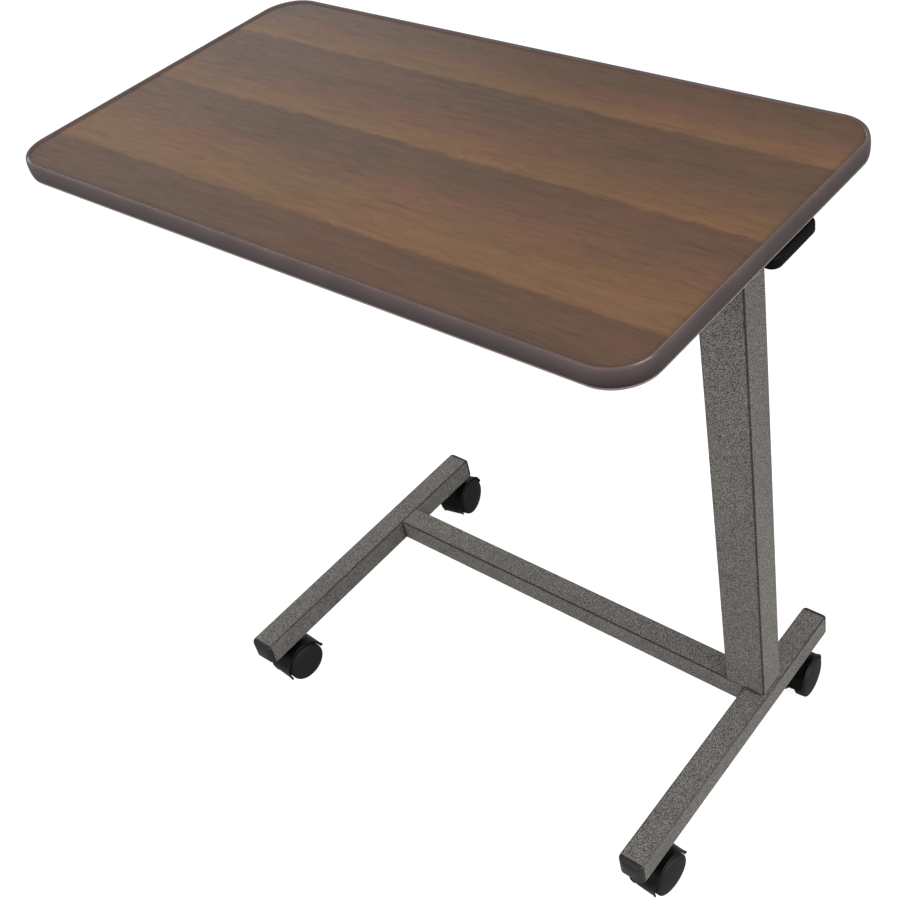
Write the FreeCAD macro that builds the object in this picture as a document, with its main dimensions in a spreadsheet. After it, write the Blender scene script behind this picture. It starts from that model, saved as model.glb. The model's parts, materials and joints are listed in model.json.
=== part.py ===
"""An overbed table: a wheeled H-shaped base, a telescoping column and a tabletop, in millimetres.

+X runs along the tabletop towards the column, +Y across it towards the back, and +Z up. The origin is on the
floor, under the middle of the whole table.
"""

import FreeCAD, Part
import math
import os
import re

import Sketcher

doc = FreeCAD.newDocument("OverbedTable")
sheet = doc.addObject("Spreadsheet::Sheet", "Dimensions")
vector = FreeCAD.Vector

# Driving dimensions, in millimetres and degrees.
DIMENSIONS = {
    # the tabletop
    "table_length": 762,
    "table_width": 400,
    "table_height": 711,
    "table_middle": 24,
    "corner_radius": 42,
    "band_height": 22,
    "band_thickness": 2.5,
    "band_round": 1.2,
    "lip_height": 2,
    "spine_thickness": 2,
    "spine_depth": 8,
    "spine_gap": 0.1,
    "laminate_thickness": 0.8,
    "board_thickness": 18,
    # the steel frame under the tabletop
    "channel_spacing": 150,
    "channel_width": 30,
    "channel_height": 20,
    "channel_wall": 2,
    "channel_left": -300,
    "channel_right": 345,
    "head_plate_length": 72,
    "head_plate_thickness": 5,
    "screw_radius": 2.25,
    "screw_length": 16,
    "screw_head_radius": 4.5,
    "screw_head_height": 3,
    "screw_margin": 40,
    # the base
    "leg_size": 30,
    "leg_wall": 1.5,
    "leg_round": 2.5,
    "leg_length": 380,
    "leg_middle": -28,
    "leg_underside": 60,
    "left_leg": -221.4,
    "right_leg": 337.8,
    "rail_middle": 43.3,
    "cap_depth": 6,
    "cap_flange": 1.8,
    "cap_round": 0.8,
    "dome_radius": 30,
    "cap_plug": 12,
    "weld_size": 3,
    # the column
    "column_length": 50,
    "column_depth": 36,
    "column_wall": 1.5,
    "column_round": 2.5,
    "column_middle": 324.1,
    "column_top": 652,
    "inner_length": 44,
    "inner_depth": 30,
    "inner_foot": 100,
    "slide_gap": 0.3,
    "glide_height": 60,
    "collar_depth": 48,
    "collar_flange": 3,
    "foot_plate": 5,
    # the lockable gas spring
    "cylinder_radius": 11,
    "cylinder_wall": 1.5,
    "cylinder_foot": 95,
    "cylinder_floor": 5,
    "cylinder_top": 600,
    "stud_radius": 4,
    "gland_height": 15,
    "rod_radius": 5,
    "rod_bore": 1.8,
    "rod_stand": 3,
    "piston_foot": 113,
    "piston_height": 15,
    "piston_radius": 9.2,
    "nut_radius": 9.24,
    "nut_height": 5,
    "pin_radius": 1.5,
    "pin_foot": 118,
    # the release lever
    "pivot_reach": 18.9,
    "pivot_height": 679,
    "pivot_radius": 2.5,
    "sleeve_radius": 4.5,
    "sleeve_length": 19,
    "lever_thickness": 3,
    "lever_width": 12,
    "bracket_gap": 24,
    "bracket_length": 14,
    "bracket_wall": 2.5,
    "bracket_height": 16,
    "grip_outer": 377,
    "grip_middle": 72,
    "grip_length": 69,
    "grip_width": 21,
    "grip_height": 13,
    "grip_underside": 670,
    "grip_corner": 8,
    "grip_round": 3,
    "grip_cover": 4,
    "spring_radius": 6.4,
    "spring_wire": 0.6,
    "spring_turns": 4,
    # the casters
    "stem_spacing": 336,
    "stem_middle": -30,
    "caster_trail": 17,
    "wheel_radius": 25,
    "wheel_width": 13,
    "wheel_gap": 13,
    "wheel_round": 1.5,
    "dome_margin": 3,
    "dome_depth": 2.5,
    "hood_radius": 28,
    "hood_wall": 2,
    "hood_width": 36,
    "hood_lip": 8,
    "hood_tail": 208,
    "web_width": 12,
    "boss_top": 55.2,
    "axle_radius": 3,
    "axle_half": 16.8,
    "stem_radius": 4,
    "stem_foot": 30,
    "stem_shoulder": 55.5,
    "shoulder_radius": 6.5,
    "shank_radius": 5,
    "shank_top": 82,
    "socket_radius": 7,
    "socket_flange": 2,
    "socket_height": 24,
    "running_gap": 0.05,
    "front_left_turn": -4,
    "front_right_turn": -4,
    "rear_left_turn": 12,
    "rear_right_turn": 184,
}

# Sizes that several sub-parts share, written with the names above.
LEG_TOP = "(leg_underside + leg_size)"
COLUMN_MIDDLE_Y = "(rail_middle - leg_size / 2 + column_depth / 2)"
TABLE_UNDERSIDE = "(table_height - lip_height - 2 * laminate_thickness - board_thickness)"
BOARD_LENGTH = "(table_length - 2 * band_thickness)"
BOARD_WIDTH = "(table_width - 2 * band_thickness)"
BOARD_CORNER = "(corner_radius - band_thickness)"
BOARD_MIDDLE_Z = f"({TABLE_UNDERSIDE} + laminate_thickness + board_thickness / 2)"
PLATE_TOP = f"({TABLE_UNDERSIDE} - channel_height)"
PLATE_UNDERSIDE = f"({PLATE_TOP} - head_plate_thickness)"
PIVOT_X = "(column_middle + pivot_reach)"
PIN_TOP = "(pivot_height - lever_thickness / 2 - slide_gap)"
CHANNEL_LENGTH = "(channel_right - channel_left)"
# the outline of each tube's inside, and of the window that the inner column slides through
LEG_INSIDE = ("(leg_size - 2 * leg_wall)", "(leg_size - 2 * leg_wall)", "(leg_round - leg_wall)")
COLUMN_INSIDE = tuple(f"({name} - {times} * column_wall)" for name, times in (
    ("column_length", 2), ("column_depth", 2), ("column_round", 1)))
INNER_INSIDE = tuple(f"({name} - {times} * column_wall)" for name, times in (
    ("inner_length", 2), ("inner_depth", 2), ("column_round", 1)))
GUIDE_WINDOW = tuple(f"({name} + {times} * slide_gap)" for name, times in (
    ("inner_length", 2), ("inner_depth", 2), ("column_round", 1)))
WHEEL_INSIDE = "(wheel_gap / 2)"
WHEEL_OUTSIDE = "(wheel_gap / 2 + wheel_width)"

WORD = re.compile(r"[a-z_]+")


def fill_sheet():
    for row, (alias, size) in enumerate(DIMENSIONS.items(), start=1):
        sheet.set(f"A{row}", alias.replace("_", " "))
        sheet.set(f"B{row}", str(size))
        sheet.setAlias(f"B{row}", alias)
    doc.recompute()


def cells(formula):
    """The formula with every alias written as its cell in the sheet."""
    return WORD.sub(lambda word: f"Dimensions.{word[0]}" if word[0] in DIMENSIONS else word[0], formula)


def number(formula):
    """What the formula comes to with the sheet's present values."""
    return float(sheet.evalExpression(cells(formula)))


def bind(item, place, formula):
    item.setExpression(place, cells(formula))


def put(item, x, y, z, turn="0", about="0; 0; 1"):
    """Place a sub-part by formulas: a point, and a turn about an axis through it."""
    bind(item, "Placement", f"placement(vector({x}; {y}; {z}); rotation(vector({about}); {turn}))")


def new_body(label):
    body = doc.addObject("PartDesign::Body", label)
    body.Label = label
    return body


def origin_item(body, role):
    return next(item for item in body.Origin.OriginFeatures if item.Role == role)


def new_sketch(body, name, role):
    sketch = body.newObject("Sketcher::SketchObject", name)
    sketch.AttachmentSupport = [(origin_item(body, role), "")]
    sketch.MapMode = "FlatFace"
    return sketch


def lift(sketch, height):
    """Move a sketch off its plane, along the plane's normal."""
    sketch.AttachmentOffset = FreeCAD.Placement()
    bind(sketch, "AttachmentOffset.Base.z", height)


def constrain(sketch, formula, kind, *where):
    index = sketch.addConstraint(Sketcher.Constraint(kind, *where, number(formula)))
    bind(sketch, f"Constraints[{index}]", formula)


def fix_point(sketch, edge, end, x, y):
    constrain(sketch, x, "DistanceX", -1, 1, edge, end)
    constrain(sketch, y, "DistanceY", -1, 1, edge, end)


def circle(sketch, x, y, radius):
    centre = vector(number(x), number(y), 0)
    edge = sketch.addGeometry(Part.Circle(centre, vector(0, 0, 1), number(radius)))
    fix_point(sketch, edge, 3, x, y)
    constrain(sketch, radius, "Radius", edge)


def outline(sketch, points):
    """A closed outline through points, each a pair of formulas.

    A third item on a point makes the edge to the next point an arc: three formulas, for a point that the arc
    passes through and for its radius.
    """
    ends = [vector(number(point[0]), number(point[1]), 0) for point in points]
    first = sketch.GeometryCount
    count = len(points)
    for index, point in enumerate(points):
        start, end = ends[index], ends[(index + 1) % count]
        if len(point) == 3:
            middle = vector(number(point[2][0]), number(point[2][1]), 0)
            sketch.addGeometry(Part.Arc(start, middle, end))
        else:
            sketch.addGeometry(Part.LineSegment(start, end))
    tips = [start_tip(sketch, first + index, ends[index]) for index in range(count)]
    for index, tip in enumerate(tips):
        following = (index + 1) % count
        joint = (first + index, 3 - tip, first + following, tips[following])
        sketch.addConstraint(Sketcher.Constraint("Coincident", *joint))
        fix_point(sketch, first + index, tip, points[index][0], points[index][1])
        if len(points[index]) == 3:
            constrain(sketch, points[index][2][2], "Radius", first + index)


def start_tip(sketch, edge, point):
    """Which end of a sketch edge, 1 or 2, lies on the point: an arc may be stored the other way round."""
    return 1 if sketch.getPoint(edge, 1).distanceToPoint(point) < 1e-6 else 2


def rounded_rectangle(sketch, width, height, radius, x="0", y="0"):
    """Four lines and four tangent arcs about the point x, y."""
    half_width, half_height, corner = number(width) / 2, number(height) / 2, number(radius)
    middle = vector(number(x), number(y), 0)
    first = sketch.GeometryCount
    # the corners' middles, anticlockwise from the lower right, with the angle at which each arc starts
    corners = [(1, -1, 270), (1, 1, 0), (-1, 1, 90), (-1, -1, 180)]
    arcs = []
    for side_x, side_y, start in corners:
        centre = middle + vector(side_x * (half_width - corner), side_y * (half_height - corner), 0)
        full = Part.Circle(centre, vector(0, 0, 1), corner)
        arcs.append(Part.ArcOfCircle(full, math.radians(start), math.radians(start + 90)))
    for index, arc in enumerate(arcs):
        sketch.addGeometry(arc)
        sketch.addGeometry(Part.LineSegment(arc.EndPoint, arcs[(index + 1) % 4].StartPoint))
    for index in range(4):
        arc, line = first + 2 * index, first + 2 * index + 1
        next_arc = first + (2 * index + 2) % 8
        sketch.addConstraint(Sketcher.Constraint("Tangent", arc, 2, line, 1))
        sketch.addConstraint(Sketcher.Constraint("Tangent", line, 2, next_arc, 1))
        if index:
            sketch.addConstraint(Sketcher.Constraint("Equal", first, arc))
    constrain(sketch, radius, "Radius", first)
    right, top, left, bottom = first + 1, first + 3, first + 5, first + 7
    sketch.addConstraint(Sketcher.Constraint("Vertical", right))
    sketch.addConstraint(Sketcher.Constraint("Horizontal", top))
    constrain(sketch, f"{x} + {width} / 2", "DistanceX", -1, 1, right, 1)
    constrain(sketch, f"{y} + {height} / 2", "DistanceY", -1, 1, top, 1)
    constrain(sketch, f"{x} - {width} / 2", "DistanceX", -1, 1, left, 1)
    constrain(sketch, f"{y} - {height} / 2", "DistanceY", -1, 1, bottom, 1)


def pad(body, sketch, length, side="One side", backwards=False):
    feature = body.newObject("PartDesign::Pad", "Pad")
    feature.Profile = sketch
    feature.SideType = side
    feature.Reversed = backwards
    bind(feature, "Length", length)
    return feature


def cut(body, kind, sketch):
    """Start a feature of a kind that cuts, and remember the volume before it."""
    doc.recompute()
    feature = body.newObject(f"PartDesign::{kind}", kind)
    feature.Profile = sketch
    return feature, body.Shape.Volume


def check_cut(body, before):
    doc.recompute()
    if not body.Shape.Volume < before - 1e-3:
        raise RuntimeError(f"a cut in {body.Label} removes nothing")


def pocket(body, sketch, length, side="One side", backwards=False):
    feature, before = cut(body, "Pocket", sketch)
    feature.SideType = side
    feature.Reversed = backwards
    bind(feature, "Length", length)
    check_cut(body, before)
    return feature


def groove(body, sketch, role):
    feature, before = cut(body, "Groove", sketch)
    feature.ReferenceAxis = (origin_item(body, role), [""])
    feature.Angle = 360
    check_cut(body, before)
    return feature


def revolve(body, sketch, role):
    feature = body.newObject("PartDesign::Revolution", "Revolution")
    feature.Profile = sketch
    feature.ReferenceAxis = (origin_item(body, role), [""])
    feature.Angle = 360
    return feature


def round_edges(body, feature, wanted, radius):
    """Fillet the edges of the feature's shape for which wanted(edge) is true."""
    doc.recompute()
    names = [f"Edge{index}" for index, edge in enumerate(feature.Shape.Edges, start=1) if wanted(edge)]
    fillet = body.newObject("PartDesign::Fillet", "Fillet")
    fillet.Base = (feature, names)
    bind(fillet, "Radius", radius)
    return fillet


def lies_at(axis, place):
    """A test for edges that lie wholly in the plane where the coordinate axis, 0 to 2, equals place."""
    def wanted(edge):
        box = edge.BoundBox
        low, high = (box.XMin, box.YMin, box.ZMin)[axis], (box.XMax, box.YMax, box.ZMax)[axis]
        return abs(low - place) < 1e-4 and abs(high - place) < 1e-4
    return wanted


def turned(label, points):
    """A turned piece: the outline of radius and height, revolved about Z."""
    body = new_body(label)
    sketch = new_sketch(body, "Profile", "XZ_Plane")
    outline(sketch, points)
    revolve(body, sketch, "Z_Axis")
    return body


# ---------------------------------------------------------------- the base


def leg(label, middle):
    body = new_body(label)
    section = new_sketch(body, "Section", "XZ_Plane")
    rounded_rectangle(section, "leg_size", "leg_size", "leg_round")
    rounded_rectangle(section, *LEG_INSIDE)
    pad(body, section, "leg_length", "Symmetric")
    holes = new_sketch(body, "SocketHoles", "XY_Plane")
    for side in ("-", "+"):
        circle(holes, "0", f"stem_middle {side} stem_spacing / 2 - leg_middle", "socket_radius")
    pocket(body, holes, "leg_size")
    put(body, middle, "leg_middle", "leg_underside + leg_size / 2")
    return body


def cross_rail():
    body = new_body("cross_rail")
    section = new_sketch(body, "Section", "YZ_Plane")
    rounded_rectangle(section, "leg_size", "leg_size", "leg_round")
    rounded_rectangle(section, *LEG_INSIDE)
    pad(body, section, "right_leg - left_leg - leg_size", "Symmetric")
    put(body, "(left_leg + right_leg) / 2", "rail_middle", "leg_underside + leg_size / 2")
    return body


def end_cap(label, middle, end, turn):
    """A plastic plug in a leg's end: a flange with a shallow dome that points along -Y before the turn."""
    body = new_body(label)
    face = new_sketch(body, "Face", "XZ_Plane")
    rounded_rectangle(face, "leg_size", "leg_size", "leg_round")
    block = pad(body, face, "cap_depth")
    round_edges(body, block, lies_at(1, -number("cap_depth")), "cap_round")
    around = new_sketch(body, "AroundDome", "YZ_Plane")
    rise = "(cap_depth - cap_flange)"
    foot = f"sqrt(2 * dome_radius * {rise} - {rise} * {rise})"
    halfway = f"({foot} / 2)"
    sag = f"(dome_radius - sqrt(dome_radius * dome_radius - {halfway} * {halfway}))"
    outline(around, [
        ("-cap_depth", "0", (f"{sag} - cap_depth", halfway, "dome_radius")), ("-cap_flange", foot),
        ("-cap_flange", "leg_size"), ("-cap_depth - 1", "leg_size"), ("-cap_depth - 1", "0"),
    ])
    groove(body, around, "Y_Axis")
    plug = new_sketch(body, "Plug", "XZ_Plane")
    rounded_rectangle(plug, *LEG_INSIDE)
    hollow_size = "(leg_size - 4 * leg_wall)"
    rounded_rectangle(plug, hollow_size, hollow_size, "(leg_round - leg_wall)")
    pad(body, plug, "cap_plug", backwards=True)
    put(body, middle, end, "leg_underside + leg_size / 2", turn)
    return body


def base_welds():
    """Fillet welds: triangular beads in the corners between the rail, the legs and the column."""
    size = number("weld_size")
    flat = number("leg_size - 2 * leg_round")
    low = number("leg_underside + leg_round")
    top = number(LEG_TOP)
    rail_sides = [number("rail_middle - leg_size / 2"), number("rail_middle + leg_size / 2")]
    beads = []
    leg_faces = [number("left_leg + leg_size / 2"), number("right_leg - leg_size / 2")]
    for leg_face, inward in zip(leg_faces, (1, -1)):
        for side, outward in zip(rail_sides, (-1, 1)):
            legs_of_bead = vector(inward * size, 0, 0), vector(0, outward * size, 0)
            beads.append(bead(vector(leg_face, side, low), *legs_of_bead, vector(0, 0, flat)))
    column = number("column_middle")
    half_length = number("column_length / 2 - column_round")
    half_depth = number("column_depth / 2 - column_round")
    middle = number(COLUMN_MIDDLE_Y)
    front = number(f"{COLUMN_MIDDLE_Y} - column_depth / 2")
    back = number(f"{COLUMN_MIDDLE_Y} + column_depth / 2")
    left = number("column_middle - column_length / 2")
    right = number("column_middle + column_length / 2")
    leg_left = number("right_leg - leg_size / 2 + leg_round")
    across_leg = vector(column + half_length - leg_left, 0, 0)
    up = vector(0, 0, size)
    beads.append(bead(vector(leg_left, front, top), vector(0, -size, 0), up, across_leg))
    beads.append(bead(vector(leg_left, back, top), vector(0, size, 0), up, across_leg))
    along = vector(0, 2 * half_depth, 0)
    rim = number("right_leg + leg_size / 2 - leg_round") - right
    beads.append(bead(vector(right, middle - half_depth, top), vector(rim, 0, 0), up * (rim / size), along))
    rail_front = rail_sides[0] + number("leg_round")
    beads.append(bead(vector(left, rail_front, top), vector(-size, 0, 0), up, vector(0, flat, 0)))
    item = doc.addObject("Part::Feature", "base_welds")
    item.Label = "base_welds"
    item.Shape = Part.makeCompound(beads)
    return item


def bead(corner, first, second, along):
    """A triangular prism with its right angle in the corner."""
    wire = Part.makePolygon([corner, corner + first, corner + second, corner])
    return Part.Face(wire).extrude(along)


# ---------------------------------------------------------------- the column


def outer_column():
    body = new_body("outer_column")
    section = new_sketch(body, "Section", "XY_Plane")
    rounded_rectangle(section, "column_length", "column_depth", "column_round")
    rounded_rectangle(section, *COLUMN_INSIDE)
    pad(body, section, f"column_top - {LEG_TOP}")
    put(body, "column_middle", COLUMN_MIDDLE_Y, LEG_TOP)
    return body


def column_foot_plate():
    body = new_body("column_foot_plate")
    section = new_sketch(body, "Section", "XY_Plane")
    rounded_rectangle(section, *COLUMN_INSIDE)
    circle(section, "0", "0", "stud_radius")
    pad(body, section, "foot_plate")
    put(body, "column_middle", COLUMN_MIDDLE_Y, LEG_TOP)
    return body


def column_collar():
    """The guide in the column's mouth: a liner with a flange that rests on the rim."""
    body = new_body("column_collar")
    liner = new_sketch(body, "Liner", "XY_Plane")
    rounded_rectangle(liner, *COLUMN_INSIDE)
    rounded_rectangle(liner, *GUIDE_WINDOW)
    pad(body, liner, "collar_depth", backwards=True)
    flange = new_sketch(body, "Flange", "XY_Plane")
    rim = [f"({name} + collar_flange)" for name in ("column_length", "column_depth", "column_round")]
    rounded_rectangle(flange, *rim)
    rounded_rectangle(flange, *GUIDE_WINDOW)
    pad(body, flange, "collar_flange")
    put(body, "column_middle", COLUMN_MIDDLE_Y, "column_top")
    return body


def inner_column():
    body = new_body("inner_column")
    section = new_sketch(body, "Section", "XY_Plane")
    rounded_rectangle(section, "inner_length", "inner_depth", "column_round")
    rounded_rectangle(section, *INNER_INSIDE)
    pad(body, section, f"{PLATE_UNDERSIDE} - inner_foot")
    put(body, "column_middle", COLUMN_MIDDLE_Y, "inner_foot")
    return body


def lower_glide():
    """The plastic sleeve on the inner column's foot, which slides in the outer column."""
    body = new_body("lower_glide")
    section = new_sketch(body, "Section", "XY_Plane")
    length = "(column_length - 2 * column_wall - 2 * slide_gap)"
    depth = "(column_depth - 2 * column_wall - 2 * slide_gap)"
    rounded_rectangle(section, length, depth, "(column_round - column_wall)")
    rounded_rectangle(section, "inner_length", "inner_depth", "column_round")
    pad(body, section, "glide_height")
    put(body, "column_middle", COLUMN_MIDDLE_Y, "inner_foot")
    return body


# ---------------------------------------------------------------- the gas spring


def gas_spring():
    bore = "(cylinder_radius - cylinder_wall)"
    floor = "(cylinder_foot + cylinder_floor)"
    around_rod = "(rod_radius + running_gap)"
    gland_foot = "(cylinder_top - gland_height)"
    piston_top = "(piston_foot + piston_height)"
    rod_top = f"({PLATE_TOP} + rod_stand)"
    pieces = [
        turned("gas_spring_cylinder", [
            ("0", LEG_TOP), ("stud_radius", LEG_TOP), ("stud_radius", "cylinder_foot"),
            ("cylinder_radius", "cylinder_foot"), ("cylinder_radius", "cylinder_top"), (bore, "cylinder_top"),
            (bore, floor), ("0", floor),
        ]),
        turned("gas_spring_gland", [
            (around_rod, gland_foot), (bore, gland_foot),
            (bore, "cylinder_top"), (around_rod, "cylinder_top"),
        ]),
        turned("gas_spring_rod", [
            ("rod_bore", "piston_foot"), ("piston_radius", "piston_foot"), ("piston_radius", piston_top),
            ("rod_radius", piston_top), ("rod_radius", rod_top), ("rod_bore", rod_top),
        ]),
    ]
    for piece in pieces:
        put(piece, "column_middle", COLUMN_MIDDLE_Y, "0")
    return pieces + [lock_nut()]


def lock_nut():
    """The hexagonal nut that holds the rod's thread under the head plate."""
    body = new_body("gas_spring_lock_nut")
    section = new_sketch(body, "Section", "XY_Plane")
    corners = [(f"nut_radius * cos({angle})", f"nut_radius * sin({angle})") for angle in range(0, 360, 60)]
    outline(section, corners)
    circle(section, "0", "0", "rod_radius")
    pad(body, section, "nut_height", backwards=True)
    put(body, "column_middle", COLUMN_MIDDLE_Y, PLATE_UNDERSIDE)
    return body


def release_pin():
    pin = doc.addObject("Part::Cylinder", "release_pin")
    pin.Label = "release_pin"
    bind(pin, "Radius", "pin_radius")
    bind(pin, "Height", f"{PIN_TOP} - pin_foot")
    put(pin, "column_middle", COLUMN_MIDDLE_Y, "pin_foot")
    return pin


# ---------------------------------------------------------------- the frame under the tabletop


def head_plate():
    body = new_body("head_plate")
    section = new_sketch(body, "Section", "XY_Plane")
    rounded_rectangle(section, "head_plate_length", "(channel_spacing + channel_width)", "channel_wall")
    circle(section, "bracket_length / 2", "0", "rod_radius")
    pad(body, section, "head_plate_thickness")
    put(body, "column_middle - bracket_length / 2", COLUMN_MIDDLE_Y, PLATE_UNDERSIDE)
    return body


def channel_outline(sketch):
    """A channel's section, open below, with its back on the sketch's horizontal axis."""
    half, inner_half = "channel_width / 2", "(channel_width / 2 - channel_wall)"
    outline(sketch, [
        (f"-{half}", "-channel_height"), (f"-{inner_half}", "-channel_height"),
        (f"-{inner_half}", "-channel_wall"), (inner_half, "-channel_wall"),
        (inner_half, "-channel_height"), (half, "-channel_height"),
        (half, "0"), (f"-{half}", "0"),
    ])


def screw_places():
    """Where the screws stand along a support rail, from the middle of its length."""
    return [f"{share} * ({CHANNEL_LENGTH} / 2 - screw_margin)" for share in (-1, 0, 1)]


def support_rail(label, side):
    body = new_body(label)
    section = new_sketch(body, "Section", "YZ_Plane")
    channel_outline(section)
    pad(body, section, CHANNEL_LENGTH, "Symmetric")
    holes = new_sketch(body, "ScrewHoles", "XY_Plane")
    for place in screw_places():
        circle(holes, place, "0", "screw_radius")
    pocket(body, holes, "channel_wall")
    across = f"{COLUMN_MIDDLE_Y} {side} channel_spacing / 2"
    put(body, "(channel_left + channel_right) / 2", across, TABLE_UNDERSIDE)
    return body


def left_cross_brace():
    body = new_body("left_cross_brace")
    section = new_sketch(body, "Section", "YZ_Plane")
    channel_outline(section)
    pad(body, section, "channel_spacing - channel_width", "Symmetric")
    put(body, "channel_left + channel_width / 2", COLUMN_MIDDLE_Y, TABLE_UNDERSIDE, "90")
    return body


def support_screws():
    """Pan-head screws from below: heads under the rails' backs, points in the board."""
    back = number(f"{TABLE_UNDERSIDE} - channel_wall")
    up, down = vector(0, 0, 1), vector(0, 0, -1)
    middle_x = number("(channel_left + channel_right) / 2")
    screws = []
    for side in (-1, 1):
        y = number(COLUMN_MIDDLE_Y) + side * number("channel_spacing / 2")
        for place in screw_places():
            seat = vector(middle_x + number(place), y, back)
            shank = Part.makeCylinder(number("screw_radius"), number("screw_length"), seat, up)
            head = Part.makeCylinder(number("screw_head_radius"), number("screw_head_height"), seat, down)
            rim = [edge for edge in head.Edges if lies_at(2, back - number("screw_head_height"))(edge)]
            screws.append(head.makeFillet(number("screw_head_height / 3"), rim).fuse(shank).removeSplitter())
    item = doc.addObject("Part::Feature", "support_screws")
    item.Label = "support_screws"
    item.Shape = Part.makeCompound(screws)
    return item


# ---------------------------------------------------------------- the tabletop


def screw_holes(body, underside, depth):
    """Holes for the six support screws, upwards from a body's underside."""
    holes = new_sketch(body, "ScrewHoles", "XY_Plane")
    lift(holes, underside)
    for side in ("-", "+"):
        for place in screw_places():
            along = f"(channel_left + channel_right) / 2 + {place}"
            across = f"{COLUMN_MIDDLE_Y} - table_middle {side} channel_spacing / 2"
            circle(holes, along, across, "screw_radius")
    pocket(body, holes, depth, backwards=True)


def tabletop_board():
    """Particle board, with a slot round its edge for the molding's spine."""
    body = new_body("tabletop_board")
    panel = new_sketch(body, "Panel", "XY_Plane")
    rounded_rectangle(panel, BOARD_LENGTH, BOARD_WIDTH, BOARD_CORNER)
    pad(body, panel, "board_thickness", "Symmetric")
    slot = new_sketch(body, "Slot", "XY_Plane")
    rounded_rectangle(slot, "table_length", "table_width", "corner_radius")
    depth = "(spine_depth + spine_gap)"
    rounded_rectangle(slot, f"({BOARD_LENGTH} - 2 * {depth})", f"({BOARD_WIDTH} - 2 * {depth})",
                      f"({BOARD_CORNER} - {depth})")
    pocket(body, slot, "spine_thickness + 2 * spine_gap", "Symmetric")
    screw_holes(body, "-board_thickness / 2", "screw_length - channel_wall - laminate_thickness")
    put(body, "0", "table_middle", BOARD_MIDDLE_Z)
    return body


def laminate(label, underside, drilled):
    body = new_body(label)
    sheet_outline = new_sketch(body, "Sheet", "XY_Plane")
    rounded_rectangle(sheet_outline, BOARD_LENGTH, BOARD_WIDTH, BOARD_CORNER)
    pad(body, sheet_outline, "laminate_thickness")
    if drilled:
        screw_holes(body, "0", "laminate_thickness")
    put(body, "0", "table_middle", underside)
    return body


def edge_molding():
    """The vinyl band round the edge: its lip stands above the laminate, its spine fills the board's slot."""
    body = new_body("edge_molding")
    band = new_sketch(body, "Band", "XY_Plane")
    rounded_rectangle(band, "table_length", "table_width", "corner_radius")
    rounded_rectangle(band, BOARD_LENGTH, BOARD_WIDTH, BOARD_CORNER)
    ring = pad(body, band, "band_height")
    low, high = lies_at(2, 0), lies_at(2, number("band_height"))
    outer_reach = number(f"{BOARD_LENGTH} / 2 - {BOARD_CORNER}")
    spine = new_sketch(body, "Spine", "XY_Plane")
    rounded_rectangle(spine, f"({BOARD_LENGTH} + band_thickness)", f"({BOARD_WIDTH} + band_thickness)",
                      f"({BOARD_CORNER} + band_thickness / 2)")
    rounded_rectangle(spine, f"({BOARD_LENGTH} - 2 * spine_depth)", f"({BOARD_WIDTH} - 2 * spine_depth)",
                      f"({BOARD_CORNER} - spine_depth)")
    round_edges(body, ring, lambda edge: high(edge) or (low(edge) and on_outer_outline(edge, outer_reach)),
                "band_round")
    lift(spine, f"{BOARD_MIDDLE_Z} - spine_thickness / 2 - table_height + band_height")
    pad(body, spine, "spine_thickness")
    put(body, "0", "table_middle", "table_height - band_height")
    return body


def on_outer_outline(edge, reach):
    """Whether an edge of the band belongs to its outer outline and not to the board's outline."""
    half_length, half_width = number("table_length / 2"), number("table_width / 2")
    radius = number("corner_radius")
    point = edge.valueAt((edge.FirstParameter + edge.LastParameter) / 2)
    x, y = abs(point.x), abs(point.y)
    if x > half_length - radius and y > half_width - radius:
        from_centre = vector(x - half_length + radius, y - half_width + radius, 0).Length
        return abs(from_centre - radius) < 1e-3
    return abs(x - half_length) < 1e-3 or abs(y - half_width) < 1e-3


# ---------------------------------------------------------------- the release lever


def lever_bracket():
    """A U-shaped bracket on the head plate, with the pivot's holes in its ears."""
    body = new_body("lever_bracket")
    section = new_sketch(body, "Section", "YZ_Plane")
    inner, outer = "bracket_gap / 2", "(bracket_gap / 2 + bracket_wall)"
    outline(section, [
        (f"-{outer}", "0"), (outer, "0"), (outer, "bracket_height"), (inner, "bracket_height"),
        (inner, "bracket_wall / 2"), (f"-{inner}", "bracket_wall / 2"), (f"-{inner}", "bracket_height"),
        (f"-{outer}", "bracket_height"),
    ])
    pad(body, section, "bracket_length", "Symmetric")
    holes = new_sketch(body, "PivotHoles", "XZ_Plane")
    circle(holes, "0", f"pivot_height - {PLATE_TOP}", "pivot_radius")
    pocket(body, holes, "2 * bracket_gap", "Symmetric")
    put(body, PIVOT_X, COLUMN_MIDDLE_Y, PLATE_TOP)
    return body


def lever_pivot_pin():
    """A headed pin along Y."""
    head, half = "(pivot_radius + 1.5)", "(bracket_gap / 2 + bracket_wall)"
    body = turned("lever_pivot_pin", [
        ("0", f"-{half} - 2"), (head, f"-{half} - 2"), (head, f"-{half}"), ("pivot_radius", f"-{half}"),
        ("pivot_radius", f"{half} + 2"), ("0", f"{half} + 2"),
    ])
    put(body, PIVOT_X, COLUMN_MIDDLE_Y, "pivot_height", "-90", "1; 0; 0")
    return body


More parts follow.
